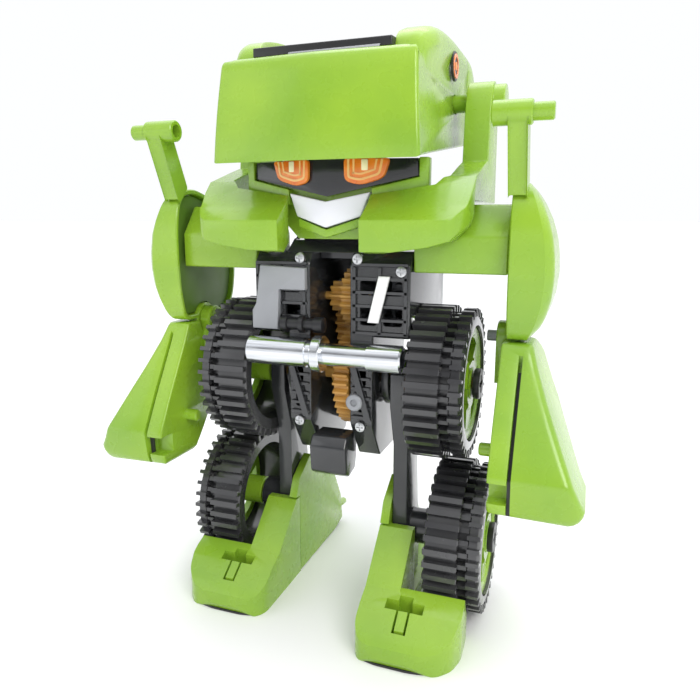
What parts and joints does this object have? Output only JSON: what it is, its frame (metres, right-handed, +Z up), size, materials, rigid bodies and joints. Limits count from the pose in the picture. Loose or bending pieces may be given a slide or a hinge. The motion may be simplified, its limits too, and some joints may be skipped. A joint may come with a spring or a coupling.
{
  "type": "solar robot kit",
  "caption": "Standing toy robot with a solar-driven gearbox, striding legs on wheels, peg-jointed arms and a lifting visor head.",
  "frame": {"origin": "on the floor under the middle of the model's box", "axes": "+Z up, the robot faces -Y, +X is the robot's left"},
  "size_m": [0.1358, 0.0824, 0.1575],
  "materials": {
    "lime_shell": "gloss moulded lime-green plastic with soft edges",
    "smoke_shell": "smoke-tinted clear plastic, dark, with glossy edges",
    "smoke_tread": "dark smoke-grey plastic tread, semi-gloss",
    "amber_gear": "amber nylon, semi-matt",
    "nylon_white": "white nylon",
    "black_plastic": "black plastic, satin",
    "grey_plate": "mid-grey plastic, satin",
    "clear_tube": "bright silvered tube, smooth",
    "motor_steel": "drawn steel can",
    "eye_orange": "orange with paler nested rings",
    "mouth_white": "white gloss plastic",
    "solar_cell": "dark blue-black solar cells under clear resin",
    "red_wire": "red insulation",
    "black_wire": "black insulation"
  },
  "bodies": {
    "torso": {"gearbox_shell_left": "smoke_shell", "gearbox_shell_right": "smoke_shell", "chest_plate": "grey_plate", "hip_cross_tube": "clear_tube", "motor_can": "motor_steel", "motor_end_cap": "black_plastic", "neck_bracket": "black_plastic", "terminal_block": "black_plastic", "crotch_guard": "smoke_shell", "red_wire": "red_wire", "black_wire": "black_wire", "shoulder_beam_left": "lime_shell", "shoulder_beam_right": "lime_shell", "face_frame": "lime_shell", "face_mask": "black_plastic", "eye_left": "eye_orange", "eye_right": "eye_orange", "mouth_plate": "mouth_white", "chin_guard": "lime_shell", "collar_left": "lime_shell", "collar_right": "lime_shell"},
    "head": {"head_front_shell": "lime_shell", "head_rear_shell": "lime_shell", "panel_bezel": "black_plastic", "solar_panel": "solar_cell", "side_badge_left": "eye_orange", "side_badge_right": "eye_orange"},
    "crank": {"crank_gear": "amber_gear", "crank_disc_left": "smoke_shell", "crank_disc_right": "smoke_shell", "thigh_tyre_left": "smoke_tread", "thigh_tyre_right": "smoke_tread", "thigh_hub_left": "lime_shell", "thigh_hub_right": "lime_shell", "thigh_axle_cap_left": "black_plastic", "thigh_axle_cap_right": "black_plastic"},
    "second_gear_shaft": {"second_gear": "amber_gear"},
    "first_gear_shaft": {"first_gear": "amber_gear"},
    "motor_shaft": {"motor_pinion": "nylon_white"},
    "leg_left": {"leg_plate_left": "smoke_shell", "foot_left": "lime_shell", "heel_shield_left": "lime_shell", "shin_axle_left": "black_plastic"},
    "shin_wheel_left": {"shin_tyre_left": "smoke_tread", "shin_hub_left": "lime_shell"},
    "upper_arm_left": {"upper_arm_left": "lime_shell", "handle_left": "lime_shell", "elbow_pin_left": "grey_plate"},
    "forearm_left": {"forearm_left": "lime_shell"},
    "leg_right": {"leg_plate_right": "smoke_shell", "foot_right": "lime_shell", "heel_shield_right": "lime_shell", "shin_axle_right": "black_plastic"},
    "shin_wheel_right": {"shin_tyre_right": "smoke_tread", "shin_hub_right": "lime_shell"},
    "upper_arm_right": {"upper_arm_right": "lime_shell", "handle_right": "lime_shell", "elbow_pin_right": "grey_plate"},
    "forearm_right": {"forearm_right": "lime_shell"}
  },
  "joints": [
    {"name": "visor_lift", "type": "hinge", "parent": "torso", "child": "head", "pos_m": [0, 0.012, 0.1405], "axis": [-1, 0, 0], "range_deg": [0, 20]},
    {"name": "crank_spin", "type": "hinge", "parent": "torso", "child": "crank", "pos_m": [0, -0.004, 0.0652], "axis": [1, 0, 0], "continuous": true},
    {"name": "second_gear_spin", "type": "hinge", "parent": "torso", "child": "second_gear_shaft", "pos_m": [0, 0.00571, 0.0796], "axis": [1, 0, 0], "continuous": true},
    {"name": "first_gear_spin", "type": "hinge", "parent": "torso", "child": "first_gear_shaft", "pos_m": [0, -0.00429, 0.0877], "axis": [1, 0, 0], "continuous": true},
    {"name": "motor_spin", "type": "hinge", "parent": "torso", "child": "motor_shaft", "pos_m": [0, 0.00628, 0.09073], "axis": [1, 0, 0], "continuous": true},
    {"name": "stride_left", "type": "slide", "parent": "torso", "child": "leg_left", "axis": [0, 1, 0], "range_m": [-0.0015, 0.0085]},
    {"name": "shin_wheel_spin_left", "type": "hinge", "parent": "leg_left", "child": "shin_wheel_left", "pos_m": [0, -0.006, 0.0219], "axis": [1, 0, 0], "continuous": true},
    {"name": "shoulder_left", "type": "hinge", "parent": "torso", "child": "upper_arm_left", "pos_m": [0, -0.004, 0.103], "axis": [-1, 0, 0], "range_deg": [-60, 90]},
    {"name": "elbow_left", "type": "hinge", "parent": "upper_arm_left", "child": "forearm_left", "pos_m": [0, -0.004, 0.0788], "axis": [-1, 0, 0], "range_deg": [-20, 0]},
    {"name": "stride_right", "type": "slide", "parent": "torso", "child": "leg_right", "axis": [0, 1, 0], "range_m": [-0.0085, 0.0015]},
    {"name": "shin_wheel_spin_right", "type": "hinge", "parent": "leg_right", "child": "shin_wheel_right", "pos_m": [0, 0.001, 0.0219], "axis": [1, 0, 0], "continuous": true},
    {"name": "shoulder_right", "type": "hinge", "parent": "torso", "child": "upper_arm_right", "pos_m": [0, -0.004, 0.103], "axis": [-1, 0, 0], "range_deg": [-60, 90]},
    {"name": "elbow_right", "type": "hinge", "parent": "upper_arm_right", "child": "forearm_right", "pos_m": [0, -0.004, 0.0788], "axis": [-1, 0, 0], "range_deg": [-20, 0]}
  ],
  "couplings": [
    {"joint": "stride_right", "follows": "stride_left", "ratio": -1},
    {"joint": "second_gear_spin", "follows": "crank_spin", "ratio": -3.6},
    {"joint": "first_gear_spin", "follows": "crank_spin", "ratio": 8.64},
    {"joint": "motor_spin", "follows": "crank_spin", "ratio": -19.2}
  ]
}
